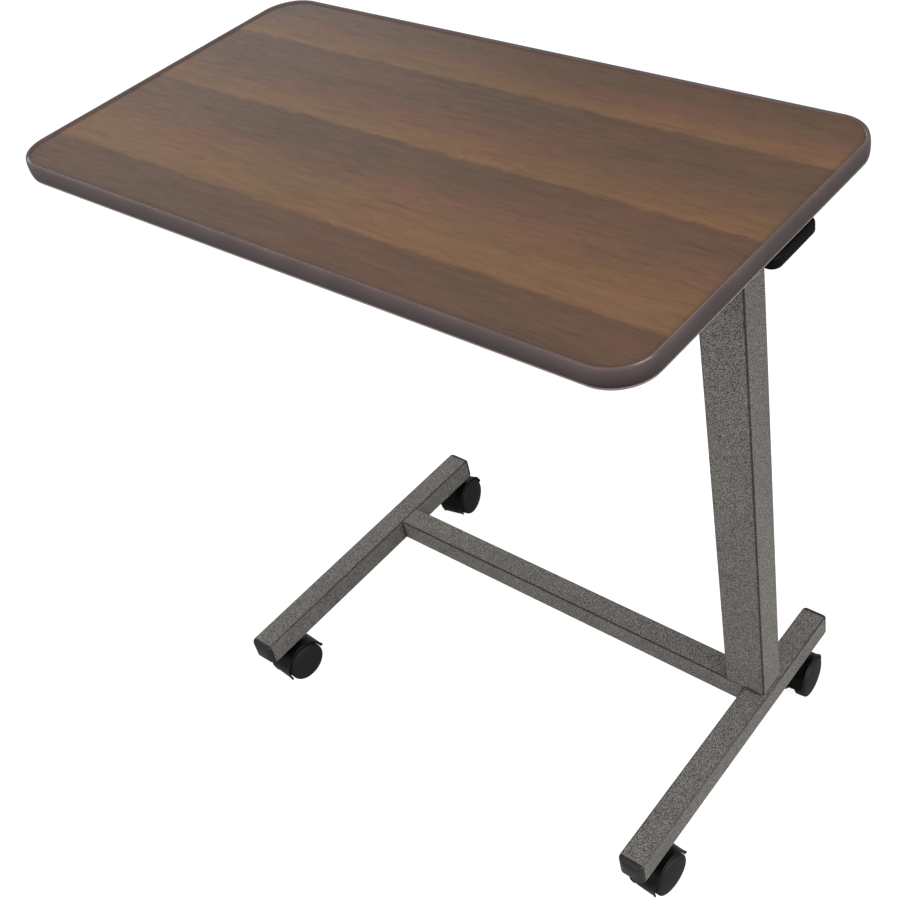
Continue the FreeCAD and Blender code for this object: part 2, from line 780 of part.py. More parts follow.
def release_lever():
    """A flat arm over the release pin, a sleeve on the pivot, and a broad arm that carries the grip."""
    body = new_body("release_lever")
    plate = new_sketch(body, "Plate", "XY_Plane")
    tip, neck = f"-(pivot_reach + lever_width / 2)", "(bracket_length / 2 + 3)"
    end = f"(grip_outer - grip_cover - {PIVOT_X})"
    low = f"(grip_middle - grip_length / 2 + grip_cover - {COLUMN_MIDDLE_Y})"
    high = f"(grip_middle + grip_length / 2 - grip_cover - {COLUMN_MIDDLE_Y})"
    outline(plate, [
        (tip, "-lever_width / 2"), (neck, "-lever_width / 2"), (neck, low), (end, low), (end, high),
        (neck, high), (neck, "lever_width / 2"), (tip, "lever_width / 2"),
    ])
    pad(body, plate, "lever_thickness", "Symmetric")
    sleeve = new_sketch(body, "Sleeve", "XZ_Plane")
    circle(sleeve, "0", "0", "sleeve_radius")
    pad(body, sleeve, "sleeve_length", "Symmetric")
    bore = new_sketch(body, "Bore", "XZ_Plane")
    circle(bore, "0", "0", "pivot_radius + running_gap")
    pocket(body, bore, "2 * sleeve_length", "Symmetric")
    put(body, PIVOT_X, COLUMN_MIDDLE_Y, "pivot_height")
    return body


def lever_grip():
    """The paddle under the tabletop's right edge, moulded over the lever's broad arm."""
    body = new_body("lever_grip")
    face = new_sketch(body, "Face", "XY_Plane")
    rounded_rectangle(face, "grip_width", "grip_length", "grip_corner")
    block = pad(body, face, "grip_height")
    low, high = lies_at(2, 0), lies_at(2, number("grip_height"))
    round_edges(body, block, lambda edge: low(edge) or high(edge), "grip_round")
    slot = new_sketch(body, "Slot", "XY_Plane")
    outer, inner = "(grip_width / 2 - grip_cover)", "(grip_width / 2 + 1)"
    half = "(grip_length / 2 - grip_cover)"
    outline(slot, [(f"-{inner}", f"-{half}"), (outer, f"-{half}"), (outer, half), (f"-{inner}", half)])
    lift(slot, "pivot_height - grip_underside")
    pocket(body, slot, "lever_thickness", "Symmetric")
    put(body, "grip_outer - grip_width / 2", "grip_middle", "grip_underside")
    return body


def lever_return_spring():
    """A coil round the rod's end, between the head plate and the lever's arm."""
    body = new_body("lever_return_spring")
    wire = new_sketch(body, "Wire", "XZ_Plane")
    circle(wire, "spring_radius", "spring_wire", "spring_wire")
    coil = body.newObject("PartDesign::AdditiveHelix", "Coil")
    coil.Profile = wire
    coil.ReferenceAxis = (wire, ["V_Axis"])
    coil.Mode = "height-turns-angle"
    bind(coil, "Turns", "spring_turns")
    bind(coil, "Height", f"{PIN_TOP} - {PLATE_TOP} - 2 * spring_wire")
    put(body, "column_middle", COLUMN_MIDDLE_Y, PLATE_TOP)
    return body


# ---------------------------------------------------------------- the casters


def caster_body(label):
    """Hood, web and stem boss in one moulding, standing on the floor with its stem at the origin."""
    body = new_body(label)
    hood = new_sketch(body, "Hood", "YZ_Plane")
    inside = "(hood_radius - hood_wall)"
    outline(hood, [
        rim_point(inside, "hood_lip"), rim_point("hood_radius", "hood_lip") + (over_the_top("hood_radius"),),
        rim_point("hood_radius", "hood_tail"), rim_point(inside, "hood_tail") + (over_the_top(inside),),
    ])
    pad(body, hood, "hood_width", "Symmetric")
    web = new_sketch(body, "Web", "YZ_Plane")
    middle = "(hood_radius - hood_wall / 2)"
    web_foot = "wheel_radius - 3 * axle_radius"
    outline(web, [
        rim_point(middle, "hood_lip") + (over_the_top(middle),), rim_point(middle, "hood_tail"),
        ("caster_trail - axle_radius", web_foot), ("caster_trail + 2 * axle_radius", web_foot),
    ])
    pad(body, web, "web_width", "Symmetric")
    boss = new_sketch(body, "Boss", "XY_Plane")
    circle(boss, "0", "0", "web_width / 2")
    lift(boss, "stem_foot")
    pad(body, boss, "boss_top - stem_foot")
    bore = new_sketch(body, "Bore", "XY_Plane")
    circle(bore, "0", "0", "stem_radius + running_gap")
    lift(bore, "stem_foot - slide_gap")
    pocket(body, bore, "boss_top", backwards=True)
    axle_hole = new_sketch(body, "AxleHole", "YZ_Plane")
    circle(axle_hole, "caster_trail", "wheel_radius", "axle_radius")
    pocket(body, axle_hole, "hood_width", "Symmetric")
    return body


def rim_point(radius, angle):
    """A point at a radius and an angle about the axle, in the caster's side view."""
    return (f"caster_trail + {radius} * cos({angle})", f"wheel_radius + {radius} * sin({angle})")


def over_the_top(radius):
    """An arc about the axle at a radius, given by its highest point."""
    return rim_point(radius, "90") + (radius,)


def wheel(label):
    """One of the twin wheels, on its axle's line: a tread with round shoulders and a domed outer face."""
    body = new_body(label)
    profile = new_sketch(body, "Profile", "XZ_Plane")
    bore = "(axle_radius + running_gap)"
    bore_end = "(axle_half + slide_gap)"
    edge = "(wheel_radius - dome_margin)"
    crown = f"(({edge} * {edge} + dome_depth * dome_depth) / (2 * dome_depth))"
    sag = f"({crown} - sqrt({crown} * {crown} - {edge} * {edge} / 4))"
    tip = f"{WHEEL_OUTSIDE} + dome_depth"
    outline(profile, [
        (WHEEL_INSIDE, bore), (bore_end, bore), (bore_end, "0"),
        (tip, "0", (f"{tip} - {sag}", f"{edge} / 2", crown)),
        (WHEEL_OUTSIDE, edge), (WHEEL_OUTSIDE, "wheel_radius - wheel_round"),
        (f"{WHEEL_OUTSIDE} - wheel_round", "wheel_radius"), (f"{WHEEL_INSIDE} + wheel_round", "wheel_radius"),
        (WHEEL_INSIDE, "wheel_radius - wheel_round"),
    ])
    revolve(body, profile, "X_Axis")
    return body


def caster(corner, middle, stem):
    """A caster at one corner: its stem's place is given, and the sheet holds how far it has swivelled."""
    turn = f"{corner}_turn"
    name = f"{corner}_caster"
    flange_foot, socket_top = "leg_underside - socket_flange", "leg_underside + socket_height"
    rim = "socket_radius + 2"
    socket = turned(f"{corner}_stem_socket", [
        ("shank_radius", flange_foot), (rim, flange_foot), (rim, "leg_underside"),
        ("socket_radius", "leg_underside"), ("socket_radius", socket_top), ("shank_radius", socket_top),
    ])
    pin = turned(f"{name}_stem", [
        ("0", "stem_foot"), ("stem_radius", "stem_foot"), ("stem_radius", "stem_shoulder"),
        ("shoulder_radius", "stem_shoulder"), ("shoulder_radius", flange_foot), ("shank_radius", flange_foot),
        ("shank_radius", "shank_top - 1"), ("shank_radius - 1", "shank_top"), ("0", "shank_top"),
    ])
    housing = caster_body(f"{name}_body")
    for piece in (socket, pin, housing):
        put(piece, middle, stem, "0", turn)
    axle_x, axle_y = f"{middle} - caster_trail * sin({turn})", f"{stem} + caster_trail * cos({turn})"
    axle = doc.addObject("Part::Cylinder", f"{name}_axle")
    axle.Label = f"{name}_axle"
    bind(axle, "Radius", "axle_radius")
    bind(axle, "Height", "2 * axle_half")
    put(axle, f"{axle_x} - axle_half * cos({turn})", f"{axle_y} - axle_half * sin({turn})", "wheel_radius",
        "90", f"-sin({turn}); cos({turn}); 0")
    right, left = wheel(f"{name}_right_wheel"), wheel(f"{name}_left_wheel")
    put(right, axle_x, axle_y, "wheel_radius", turn)
    put(left, axle_x, axle_y, "wheel_radius", f"{turn} + 180")
    return [socket, pin, housing, axle, right, left]


# ---------------------------------------------------------------- the whole table


def build():
    fill_sheet()
    front, rear = "leg_middle - leg_length / 2", "leg_middle + leg_length / 2"
    pieces = [leg("left_leg", "left_leg"), leg("right_leg", "right_leg"), cross_rail(), base_welds()]
    for side, middle in (("left", "left_leg"), ("right", "right_leg")):
        pieces.append(end_cap(f"front_{side}_end_cap", middle, front, "0"))
        pieces.append(end_cap(f"rear_{side}_end_cap", middle, rear, "180"))
        pieces += caster(f"front_{side}", middle, "(stem_middle - stem_spacing / 2)")
        pieces += caster(f"rear_{side}", middle, "(stem_middle + stem_spacing / 2)")
    pieces += [outer_column(), column_foot_plate(), column_collar(), inner_column(), lower_glide()]
    pieces += gas_spring()
    pieces += [head_plate(), support_rail("front_support_rail", "-"), support_rail("rear_support_rail", "+")]
    pieces += [left_cross_brace(), support_screws()]
    top_underside = "table_height - lip_height - laminate_thickness"
    pieces += [tabletop_board(), laminate("top_laminate", top_underside, False)]
    pieces += [laminate("backing_laminate", TABLE_UNDERSIDE, True), edge_molding()]
    pieces += [lever_bracket(), lever_pivot_pin(), lever_return_spring()]
    pieces += [release_lever(), lever_grip(), release_pin()]
    doc.recompute()
    return pieces


def check(pieces):
    for item in doc.Objects:
        if "Invalid" in item.State or "Error" in item.State:
            raise RuntimeError(f"{item.Label} failed to compute")
    for piece in pieces:
        if piece.Shape.isNull() or not piece.Shape.isValid() or not piece.Shape.Solids:
            raise RuntimeError(f"{piece.Label} has no valid solid")


def export(pieces):
    os.makedirs("parts", exist_ok=True)
    for piece in pieces:
        piece.Shape.exportStep(f"parts/{piece.Label}.step")


PIECES = build()
check(PIECES)
export(PIECES)
print(len(PIECES), "sub-parts")
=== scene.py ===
"""The looks of an overbed table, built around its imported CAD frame.

Metres and radians, in the CAD's own frame: +X along the tabletop towards the column, +Y across it towards the
back, +Z up, with the floor at zero. Numbers given in millimetres are multiplied by MM."""

import json
import math

import bmesh
import bpy
from mathutils import Matrix, Vector, noise


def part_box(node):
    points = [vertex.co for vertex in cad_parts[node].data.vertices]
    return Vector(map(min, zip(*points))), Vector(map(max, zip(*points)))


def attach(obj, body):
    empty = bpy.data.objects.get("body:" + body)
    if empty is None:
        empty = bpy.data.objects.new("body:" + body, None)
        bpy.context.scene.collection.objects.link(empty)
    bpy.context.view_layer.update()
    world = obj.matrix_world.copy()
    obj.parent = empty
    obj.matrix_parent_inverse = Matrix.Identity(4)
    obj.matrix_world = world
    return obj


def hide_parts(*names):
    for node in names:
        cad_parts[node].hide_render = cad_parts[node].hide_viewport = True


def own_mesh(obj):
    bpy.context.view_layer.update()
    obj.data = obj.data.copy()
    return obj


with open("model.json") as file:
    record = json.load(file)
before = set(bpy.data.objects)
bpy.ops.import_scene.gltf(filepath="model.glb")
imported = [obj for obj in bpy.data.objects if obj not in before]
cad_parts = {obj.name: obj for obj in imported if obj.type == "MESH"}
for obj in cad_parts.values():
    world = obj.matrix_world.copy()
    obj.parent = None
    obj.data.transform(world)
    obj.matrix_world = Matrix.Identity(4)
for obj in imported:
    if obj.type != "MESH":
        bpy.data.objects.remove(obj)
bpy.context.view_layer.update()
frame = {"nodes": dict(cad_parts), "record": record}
NODES = frame["nodes"]
MM = 0.001
TINY = 1e-7
WHITE = (1, 1, 1, 1)
CORNERS = ("front_left", "front_right", "rear_left", "rear_right")


# ---------------------------------------------------------------- materials


class Surface:
    """A Principled material fed with numbers, colours or sockets of procedural nodes in object space."""

    def __init__(self, name, **inputs):
        self.material = bpy.data.materials.new(name)
        self.material.use_nodes = True
        self.tree = self.material.node_tree
        self.tree.nodes.clear()
        self.shader = self.node("ShaderNodeBsdfPrincipled")
        output = self.node("ShaderNodeOutputMaterial")
        self.tree.links.new(self.shader.outputs[0], output.inputs[0])
        where = self.node("ShaderNodeTexCoord")
        self.place, self.facing = where.outputs["Object"], where.outputs["Normal"]
        self.set(**inputs)

    def node(self, kind, inputs=None, **settings):
        node = self.tree.nodes.new(kind)
        for key, value in settings.items():
            setattr(node, key, value)
        for key, value in (inputs or {}).items():
            self.feed(node.inputs[key], value)
        return node

    def feed(self, socket, value):
        if isinstance(value, bpy.types.NodeSocket):
            self.tree.links.new(value, socket)
        else:
            socket.default_value = value

    def set(self, **inputs):
        for key, value in inputs.items():
            self.feed(self.shader.inputs[key.replace("_", " ")], value)

    def math(self, operation, first, second):
        return self.node("ShaderNodeMath", {0: first, 1: second}, operation=operation).outputs[0]

    def stretched(self, x, y, z):
        """Object coordinates scaled along each axis, so that 1 is one feature."""
        node = self.node("ShaderNodeVectorMath", {0: self.place, 1: (x, y, z)}, operation="MULTIPLY")
        return node.outputs[0]

    def noise(self, where, detail, scale=1.0, roughness=0.5, distortion=0.0):
        inputs = {"Vector": where, "Scale": scale, "Detail": detail, "Roughness": roughness,
                  "Distortion": distortion}
        return self.node("ShaderNodeTexNoise", inputs).outputs["Fac"]

    def ramp(self, factor, stops):
        """A colour ramp; a stop is its place and either a grey or a colour."""
        node = self.node("ShaderNodeValToRGB", {"Fac": factor})
        band = node.color_ramp
        while len(band.elements) < len(stops):
            band.elements.new(0.5)
        for element, (place, tone) in zip(band.elements, stops):
            element.position = place
            element.color = (*tone, 1) if isinstance(tone, tuple) else (tone, tone, tone, 1)
        return node.outputs["Color"]

    def spread(self, factor, low, high, low_out=0.0, high_out=1.0):
        inputs = {"Value": factor, "From Min": low, "From Max": high, "To Min": low_out, "To Max": high_out}
        return self.node("ShaderNodeMapRange", inputs).outputs[0]

    def mix(self, factor, first, second, blend="MIX"):
        node = self.node("ShaderNodeMix", data_type="RGBA", blend_type=blend)
        colour = [socket for socket in node.inputs if socket.type == "RGBA"]
        self.feed(node.inputs[0], factor)
        self.feed(colour[0], first)
        self.feed(colour[1], second)
        return next(socket for socket in node.outputs if socket.type == "RGBA")

    def bump(self, height, depth, strength):
        inputs = {"Height": height, "Distance": depth, "Strength": strength}
        return self.node("ShaderNodeBump", inputs).outputs[0]


def rgb(red, green, blue):
    """A colour given as it looks on a screen, 0 to 255, in linear light."""
    shares = [value / 255 for value in (red, green, blue)]
    return tuple(s / 12.92 if s <= 0.04045 else ((s + 0.055) / 1.055) ** 2.4 for s in shares)


def hammered_paint(name, dark, light):
    """Silver-vein enamel: a maze of dark and silvery worms, pitted like leather, with painted shade darkening
    its rounded edges.
    """
    skin = Surface(name, Metallic=0.2)
    askew = skin.node("ShaderNodeMapping", {"Vector": skin.place, "Rotation": (0.5, 0.7, 0.4)}).outputs[0]
    maze = skin.noise(askew, scale=1080.0, detail=0.0, distortion=0.4)
    worms = skin.ramp(maze, [(0.37, 0.0), (0.50, 0.40), (0.61, 1.0)])
    clouds = skin.noise(skin.place, scale=14.0, detail=3.0)
    coat = skin.mix(worms, (*dark, 1), (*light, 1))
    shade = skin.ramp(clouds, [(0.3, 0.9), (0.7, 1.0)])
    tone = skin.mix(1.0, coat, shade, "MULTIPLY")
    # Painted shade: where the normal leans away from the object's axes, on rounded edges, the colour is
    # darkened into a dark line.
    sides = skin.node("ShaderNodeVectorMath", {0: skin.facing}, operation="ABSOLUTE").outputs[0]
    x, y, z = skin.node("ShaderNodeSeparateXYZ", {0: sides}).outputs
    flatness = skin.math("MAXIMUM", skin.math("MAXIMUM", x, y), z)
    edge = skin.ramp(flatness, [(0.75, 0.12), (0.93, 0.32), (0.99, 1.0)])
    skin.set(
        Base_Color=skin.mix(1.0, tone, edge, "MULTIPLY"),
        Roughness=skin.spread(maze, 0.35, 0.65, 0.52, 0.40),
        Normal=skin.bump(maze, 0.3 * MM, 0.7),
    )
    return skin.material


def walnut_laminate():
    """Printed walnut planks along X, each golden at its front seam and grey-brown at its back one."""
    skin = Surface("walnut_laminate", Specular_IOR_Level=0.2)
    _, straight_y, _ = skin.node("ShaderNodeSeparateXYZ", {0: skin.place}).outputs
    waver = skin.noise(skin.stretched(45.0, 30.0, 1.0), detail=5.0, roughness=0.65)
    seam_y = skin.math("ADD", straight_y, skin.spread(waver, 0.3, 0.7, -2.4 * MM, 2.4 * MM))
    gold, amber, russet = rgb(111, 82, 56), rgb(106, 78, 54), rgb(100, 72, 56)
    brown, umber = rgb(90, 68, 52), rgb(88, 65, 51)
    front, back = -0.18, 0.23
    # Tones at places across the table, in metres; the jump from umber to gold is a seam between two planks.
    stops = [(-0.179, umber), (-0.160, brown), (-0.119, umber), (-0.115, gold), (-0.092, gold),
             (-0.068, amber), (-0.044, russet), (-0.015, brown), (0.017, umber), (0.021, gold),
             (0.040, amber), (0.060, russet), (0.085, brown), (0.1355, umber), (0.1395, gold),
             (0.154, amber), (0.172, russet), (0.190, brown), (0.224, umber)]
    across = skin.spread(seam_y, front, back)
    colour = skin.ramp(across, [((y - front) / (back - front), tone) for y, tone in stops])
    drift = skin.noise(skin.stretched(7.0, 22.0, 1.0), detail=3.0, distortion=0.5)
    cloud = skin.ramp(drift, [(0.34, (0.92, 0.97, 0.93)), (0.5, 1.0), (0.66, (1.07, 0.99, 0.99))])
    strokes = skin.noise(skin.stretched(36.0, 290.0, 1.0), detail=4.0, roughness=0.6, distortion=0.9)
    grain = skin.ramp(strokes, [(0.26, 0.80), (0.45, 0.97), (0.56, 1.02), (0.76, 1.14)])
    pores = skin.noise(skin.stretched(95.0, 1300.0, 1.0), detail=2.0)
    pore_tone = skin.ramp(pores, [(0.28, 0.84), (0.42, 1.0)])
    figure = skin.noise(skin.stretched(6.0, 60.0, 1.0), detail=3.0, distortion=1.6)
    figure_tone = skin.ramp(figure, [(0.34, (0.90, 0.89, 0.9)), (0.5, 1.0), (0.66, (1.07, 1.05, 1.0))])
    for tone in (cloud, grain, figure_tone, pore_tone):
        colour = skin.mix(1.0, colour, tone, "MULTIPLY")
    skin.set(
        Base_Color=colour,
        Roughness=skin.spread(strokes, 0.3, 0.7, 0.48, 0.40),
        Normal=skin.bump(pores, 0.03 * MM, 0.35),
    )
    return skin.material


def moulded(name, colour, roughness, grain=900.0, depth=0.04, wear=0.0, gloss=0.5, painted_glint_and_shade=None):
    """Moulded plastic or vinyl: faint clouds in its tone, a fine spark-eroded skin and duller scuffs.

    Between two given heights it paints light and shade: a painted highlight, pale at its foot, painted shade,
    dark just above it, and painted light making it paler again at its top."""
    skin = Surface(name, Specular_IOR_Level=gloss)
    fine = skin.noise(skin.place, scale=grain, detail=2.0)
    clouds = skin.noise(skin.place, scale=24.0, detail=4.0)
    scuffs = skin.noise(skin.stretched(60.0, 24.0, 140.0), detail=5.0, distortion=1.5)
    shade = skin.ramp(clouds, [(0.3, 0.88), (0.7, 1.1)])
    tone = skin.mix(1.0, (*colour, 1), shade, "MULTIPLY")
    # Painted light over the height: a painted highlight at the foot, painted shade just above it, lighter
    # towards the top.
    if painted_glint_and_shade:
        _, _, height = skin.node("ShaderNodeSeparateXYZ", {0: skin.place}).outputs
        stops = [(0.0, 3.6), (0.13, 3.6), (0.165, 0.2), (0.3, 0.42), (0.8, 0.94), (1.0, 1.5)]
        tone = skin.mix(1.0, tone, skin.ramp(skin.spread(height, *painted_glint_and_shade), stops), "MULTIPLY")
    worn, scuffed = skin.spread(scuffs, 0.58, 0.74), (0.2, 0.19, 0.18, 1)
    skin.set(
        Base_Color=skin.mix(skin.math("MULTIPLY", worn, wear), tone, scuffed),
        Roughness=skin.math("ADD", skin.spread(clouds, 0.3, 0.7, roughness - 0.05, roughness + 0.05),
                            skin.math("MULTIPLY", worn, 0.12 if wear else 0.0)),
        Normal=skin.bump(fine, depth * MM, 0.5),
    )
    return skin.material


def plated(name, colour, roughness, streak=(300.0, 300.0, 20.0)):
    """Bare or plated metal with fine drawing marks and faint stains."""
    skin = Surface(name, Metallic=1.0)
    marks = skin.noise(skin.stretched(*streak), detail=4.0)
    stains = skin.noise(skin.place, scale=45.0, detail=5.0)
    shade = skin.ramp(stains, [(0.3, 0.82), (0.65, 1.0)])
    skin.set(
        Base_Color=skin.mix(1.0, (*colour, 1), shade, "MULTIPLY"),
        Roughness=skin.spread(marks, 0.3, 0.7, roughness * 0.7, roughness * 1.3),
        Normal=skin.bump(marks, 0.02 * MM, 0.4),
    )
    return skin.material


def pressed_chips():
    """Wood chips pressed into board: the tabletop's core."""
    skin = Surface("particle_board", Roughness=0.9)
    cells = skin.node("ShaderNodeTexVoronoi", {"Vector": skin.stretched(350.0, 350.0, 900.0)})
    tones = skin.ramp(cells.outputs["Color"], [(0.0, rgb(150, 118, 80)), (0.5, rgb(196, 164, 120)),
                                              (1.0, rgb(222, 196, 156))])
    skin.set(Base_Color=tones, Normal=skin.bump(cells.outputs["Distance"], 0.3 * MM, 0.6))
    return skin.material


def backing_sheet():
    """The underside's plain brown balancing sheet, faintly mottled."""
    skin = Surface("backing_sheet")
    mottle = skin.noise(skin.place, scale=60.0, detail=6.0, roughness=0.65)
    fibres = skin.noise(skin.stretched(25.0, 500.0, 1.0), detail=3.0)
    tone = skin.ramp(mottle, [(0.3, rgb(70, 58, 50)), (0.7, rgb(92, 78, 68))])
    shade = skin.ramp(fibres, [(0.3, 0.9), (0.7, 1.08)])
    skin.set(
        Base_Color=skin.mix(1.0, tone, shade, "MULTIPLY"),
        Roughness=skin.spread(mottle, 0.3, 0.7, 0.55, 0.7),
        Normal=skin.bump(fibres, 0.05 * MM, 0.4),
    )
    return skin.material


MATERIALS = {
    "frame_paint": hammered_paint("frame_paint", rgb(30, 29, 28), rgb(130, 126, 120)),
    "zinc_steel": plated("zinc_steel", (0.55, 0.55, 0.57), 0.34),
    "cylinder_paint": moulded("cylinder_paint", (0.03, 0.03, 0.032), 0.35, grain=500.0, wear=0.15),
    "rod_chrome": plated("rod_chrome", (0.75, 0.75, 0.77), 0.1, (900.0, 900.0, 900.0)),
    "lever_paint": moulded("lever_paint", (0.03, 0.03, 0.03), 0.45, grain=1400.0, depth=0.08, wear=0.2),
    "black_plastic": moulded("black_plastic", (0.012, 0.012, 0.013), 0.4, wear=0.03, gloss=0.3),
    "grip_plastic": moulded("grip_plastic", (0.003, 0.003, 0.003), 0.5, depth=0.08, wear=0.01, gloss=0.06),
    "hood_plastic": moulded("hood_plastic", (0.003, 0.003, 0.003), 0.34, wear=0.01, gloss=0.12),
    "wheel_plastic": moulded("wheel_plastic", (0.011, 0.010, 0.010), 0.5, wear=0.02, gloss=0.12),
    "particle_board": pressed_chips(),
    "walnut_laminate": walnut_laminate(),
    "backing_sheet": backing_sheet(),
    # The vinyl band gets a painted highlight and painted shade over its height.
    "edge_vinyl": moulded("edge_vinyl", rgb(68, 58, 57), 0.22, grain=700.0, depth=0.02, gloss=0.3,
                          painted_glint_and_shade=[corner[2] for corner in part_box("edge_molding")]),
}

SLOTS = {part["node"]: part["material_slot"] for part in frame["record"]["subparts"]}
for node_name, node in NODES.items():
    node.data.materials.clear()
    node.data.materials.append(MATERIALS[SLOTS[node_name]])


# ---------------------------------------------------------------- mesh tools


def piece(name, vertices, faces, slot, body, replaced, crease):
    """A new visible piece: a mesh that rides on a body, takes its finish from a material slot and hides the
    CAD nodes that it replaces."""
    mesh = bpy.data.meshes.new(name)
    mesh.from_pydata([tuple(v) for v in vertices], [], faces)
    mesh.validate()
    turn_outwards(mesh)
    mesh.materials.append(MATERIALS[slot])
    mesh.shade_smooth()
    mesh.set_sharp_from_angle(angle=math.radians(crease))
    made = bpy.data.objects.new(name, mesh)
    bpy.context.scene.collection.objects.link(made)
    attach(made, body)
    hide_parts(*replaced)
    return made


def turn_outwards(mesh):
    """Joins points that coincide and turns every face outwards."""
    shell = bmesh.new()
    shell.from_mesh(mesh)
    bmesh.ops.remove_doubles(shell, verts=shell.verts, dist=TINY)
    bmesh.ops.recalc_face_normals(shell, faces=shell.faces)
    shell.to_mesh(mesh)
    shell.free()


def loft(rings, looped=False, first=0):
    """Points, and faces between rings of equally many points, numbered from first. Both ends get a face,
    unless the last ring joins the first one."""
    count, size = len(rings), len(rings[0])
    total = count * size
    faces = []
    for ring in range(count if looped else count - 1):
        for step in range(size):
            a, b = ring * size + step, ring * size + (step + 1) % size
            faces.append(tuple(first + index for index in (a, b, (b + size) % total, (a + size) % total)))
    if not looped:
        faces.append(tuple(first + step for step in reversed(range(size))))
        faces.append(tuple(first + total - size + step for step in range(size)))
    return [point for ring in rings for point in ring], faces


def rounded_outline(half_x, half_y, radius, middle=(0.0, 0.0), arc_steps=20, run=20 * MM):
    """Points and outward directions round a rounded rectangle, anticlockwise. Its straight sides are cut into
    pieces of about a run."""
    points = []
    for side_x, side_y, start in ((1, -1, -90), (1, 1, 0), (-1, 1, 90), (-1, -1, 180)):
        centre = Vector((middle[0] + side_x * (half_x - radius), middle[1] + side_y * (half_y - radius)))
        for step in range(arc_steps + 1):
            angle = math.radians(start + 90 * step / arc_steps)
            out = Vector((math.cos(angle), math.sin(angle)))
            points.append((centre + radius * out, out))
        last, along = points[-1][0], Vector((-out.y, out.x))
        straight = 2 * (half_y if side_x == -side_y else half_x) - 2 * radius
        pieces = max(1, round(straight / run))
        for step in range(1, pieces):
            points.append((last + along * straight * step / pieces, out))
    return points


def smooth_curve(points, steps):
    """A Catmull-Rom curve through points, with as many steps between each two."""
    last = len(points) - 1
    curve = []
    for index in range(last):
        a, b, c, d = (Vector(points[min(max(index + shift, 0), last)]) for shift in (-1, 0, 1, 2))
        for step in range(steps):
            t = step / steps
            curve.append(0.5 * (2 * b + (c - a) * t + (2 * a - 5 * b + 4 * c - d) * t * t
                                + (3 * b - a - 3 * c + d) * t ** 3))
    curve.append(Vector(points[last]))
    return curve


def turned_mesh(profile, place, segments):
    """A profile of (height, radius) pairs turned about local Z and placed by a matrix. A pair on the axis
    makes one point."""
    vertices, faces, rings = [], [], []
    for height, radius in profile:
        if radius < TINY:
            rings.append([len(vertices)])
            vertices.append(place @ Vector((0, 0, height)))
        else:
            rings.append(list(range(len(vertices), len(vertices) + segments)))
            for step in range(segments):
                angle = math.tau * step / segments
                vertices.append(place @ Vector((radius * math.cos(angle), radius * math.sin(angle), height)))
    for low, high in zip(rings, rings[1:]):
        for step in range(segments):
            nxt = (step + 1) % segments
            if len(low) == 1:
                faces.append((low[0], high[nxt], high[step]))
            elif len(high) == 1:
                faces.append((low[step], low[nxt], high[0]))
            else:
                faces.append((low[step], low[nxt], high[nxt], high[step]))
    return vertices, faces


# ---------------------------------------------------------------- the tabletop's edge


def edge_band():
    """The vinyl molding: a bullnose band whose bead stands above the laminate and laps over its rim."""
    low, high = (Vector(corner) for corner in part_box("edge_molding"))
    centre, half = (low + high) / 2, (high - low) / 2
    band, corner_radius = 2.5 * MM, 42 * MM
    board = rounded_outline(half.x - band, half.y - band, corner_radius - band, (centre.x, centre.y))
    # Each pair is the reach past the board's side and the height above the band's foot, in millimetres.
    bullnose = [(-2.6, 20.1), (-2.2, 20.6), (-1.5, 21.1), (-0.7, 21.5), (0.0, 21.8), (0.5, 21.9), (1.0, 21.5),
                (1.5, 20.5), (1.95, 18.8), (2.25, 16.6), (2.43, 14.2), (2.5, 11.5), (2.4, 8.6), (2.1, 5.8),
                (1.6, 3.2), (0.9, 1.1), (0.2, 0.1)]
    inside = [(-0.8, 0.0), (-0.8, 1.0), (0.05, 1.0), (0.05, 19.9)]
    profile = [(reach * MM, height * MM) for reach, height in [*smooth_curve(bullnose, 3), *inside]]
    rings = [[Vector((*(point + out * reach), low.z + height)) for point, out in board]
             for reach, height in profile]
    vertices, faces = loft(rings, looped=True)
    piece("edge_band", vertices, faces, "edge_vinyl", "top", ["edge_molding"], crease=40)


edge_band()


# ---------------------------------------------------------------- welds and screws


def weld_run(start, first, second, along, length, size, seed):
    """Rings of a fillet weld: ripples of solidified metal between two walls, tapering at both ends."""
    ring_gap, ripple_gap, sunk = 0.45 * MM, 1.9 * MM, 0.4 * MM
    arc_steps = 8
    rings = []
    steps = max(8, round(length / ring_gap))
    for step in range(steps + 1):
        share = step / steps
        taper = min(1.0, 0.25 + 9 * min(share, 1 - share))
        ripple = 0.93 + 0.07 * math.cos(math.tau * share * length / ripple_gap)
        lump = 1 + 0.12 * noise.noise(Vector((share * length * 260, seed, 0.5)))
        leg = size * taper * ripple * lump
        middle = start + along * share * length
        arc = []
        for point in range(arc_steps + 1):
            turn = math.pi / 2 * point / arc_steps
            swell = 0.72 + 0.28 * abs(math.cos(2 * turn))
            arc.append(middle + leg * swell * (first * math.cos(turn) + second * math.sin(turn)))
        rings.append(arc + [middle - sunk * (first + second)])
    return rings


